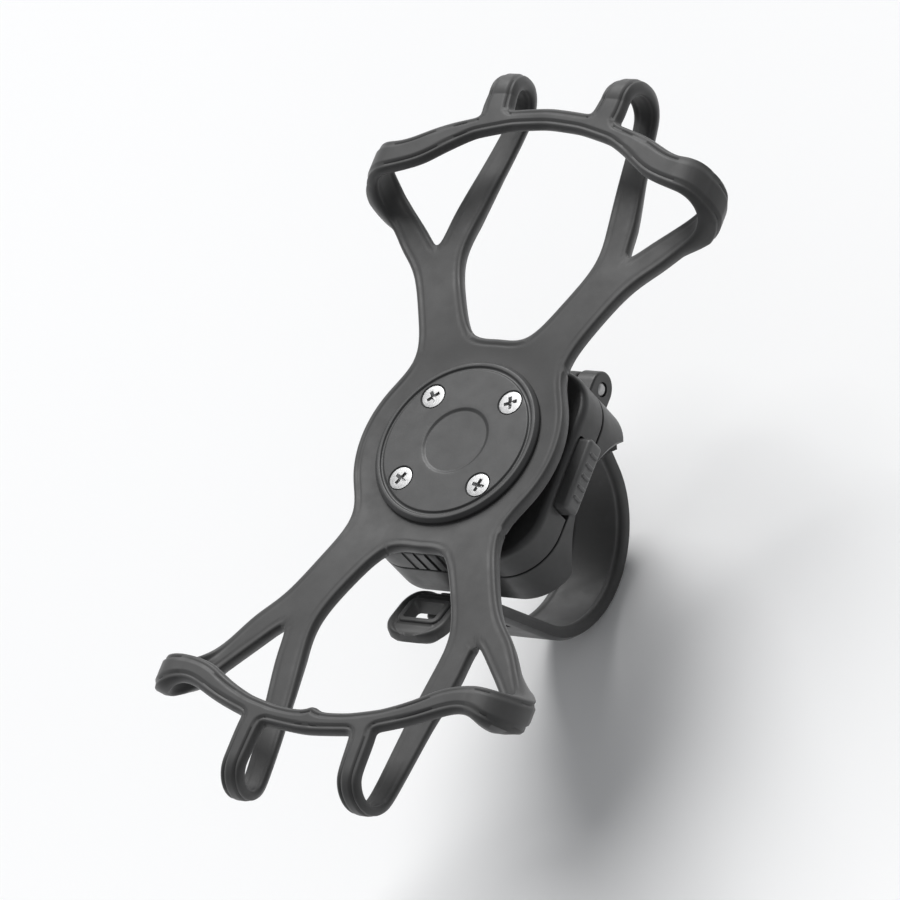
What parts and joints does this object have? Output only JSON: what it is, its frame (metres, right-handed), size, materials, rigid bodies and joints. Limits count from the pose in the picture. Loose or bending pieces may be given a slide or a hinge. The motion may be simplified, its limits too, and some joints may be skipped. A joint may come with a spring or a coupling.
{
  "type": "phone mount",
  "caption": "Stretch silicone web cradle for a phone on a click-swivel, quick-release base that straps round a handlebar.",
  "frame": {"origin": "on the swivel axis, where the saddle pad's flat land rests on the top of the handlebar", "axes": "+X along the handlebar, +Z out of the bar along the swivel axis to the phone, +Y towards the phone's top edge"},
  "size_m": [0.0752, 0.143, 0.0601],
  "materials": {
    "silicone": "matt moulded silicone",
    "black_plastic": "fine texture",
    "acetal": "smooth",
    "button_plastic": "fine texture",
    "pad_rubber": "matt",
    "steel": "plain",
    "spring_steel": "bright drawn wire"
  },
  "bodies": {
    "base": {"base_housing": "black_plastic", "saddle_base": "black_plastic", "saddle_pad": "pad_rubber", "base_screw_1": "steel", "base_screw_2": "steel", "base_screw_3": "steel", "base_screw_4": "steel", "strap": "silicone", "strap_pin": "steel", "lock_spring_1": "spring_steel", "lock_spring_2": "spring_steel", "detent_spring_1": "spring_steel", "detent_spring_2": "spring_steel"},
    "cradle": {"silicone_cradle": "silicone", "hub_front_plate": "black_plastic", "swivel_spigot": "acetal", "hub_screw_1": "steel", "hub_screw_2": "steel", "hub_screw_3": "steel", "hub_screw_4": "steel"},
    "release": {"release_button": "button_plastic", "lock_plate": "steel"},
    "detent_a": {"detent_ball_1": "steel"},
    "detent_b": {"detent_ball_2": "steel"}
  },
  "joints": [
    {"name": "cradle_swivel", "type": "hinge", "parent": "base", "child": "cradle", "pos_m": [0, 0, 0.0101], "axis": [0, 0, 1], "continuous": true},
    {"name": "release_press", "type": "slide", "parent": "base", "child": "release", "axis": [-1, 0, 0], "range_m": [0, 0.002], "deforming": ["lock_spring_1", "lock_spring_2"]},
    {"name": "detent_a_press", "type": "slide", "parent": "base", "child": "detent_a", "axis": [0, 0, -1], "range_m": [0, 0.0006], "deforming": ["detent_spring_1"]},
    {"name": "detent_b_press", "type": "slide", "parent": "base", "child": "detent_b", "axis": [0, 0, -1], "range_m": [0, 0.0006], "deforming": ["detent_spring_2"]}
  ]
}
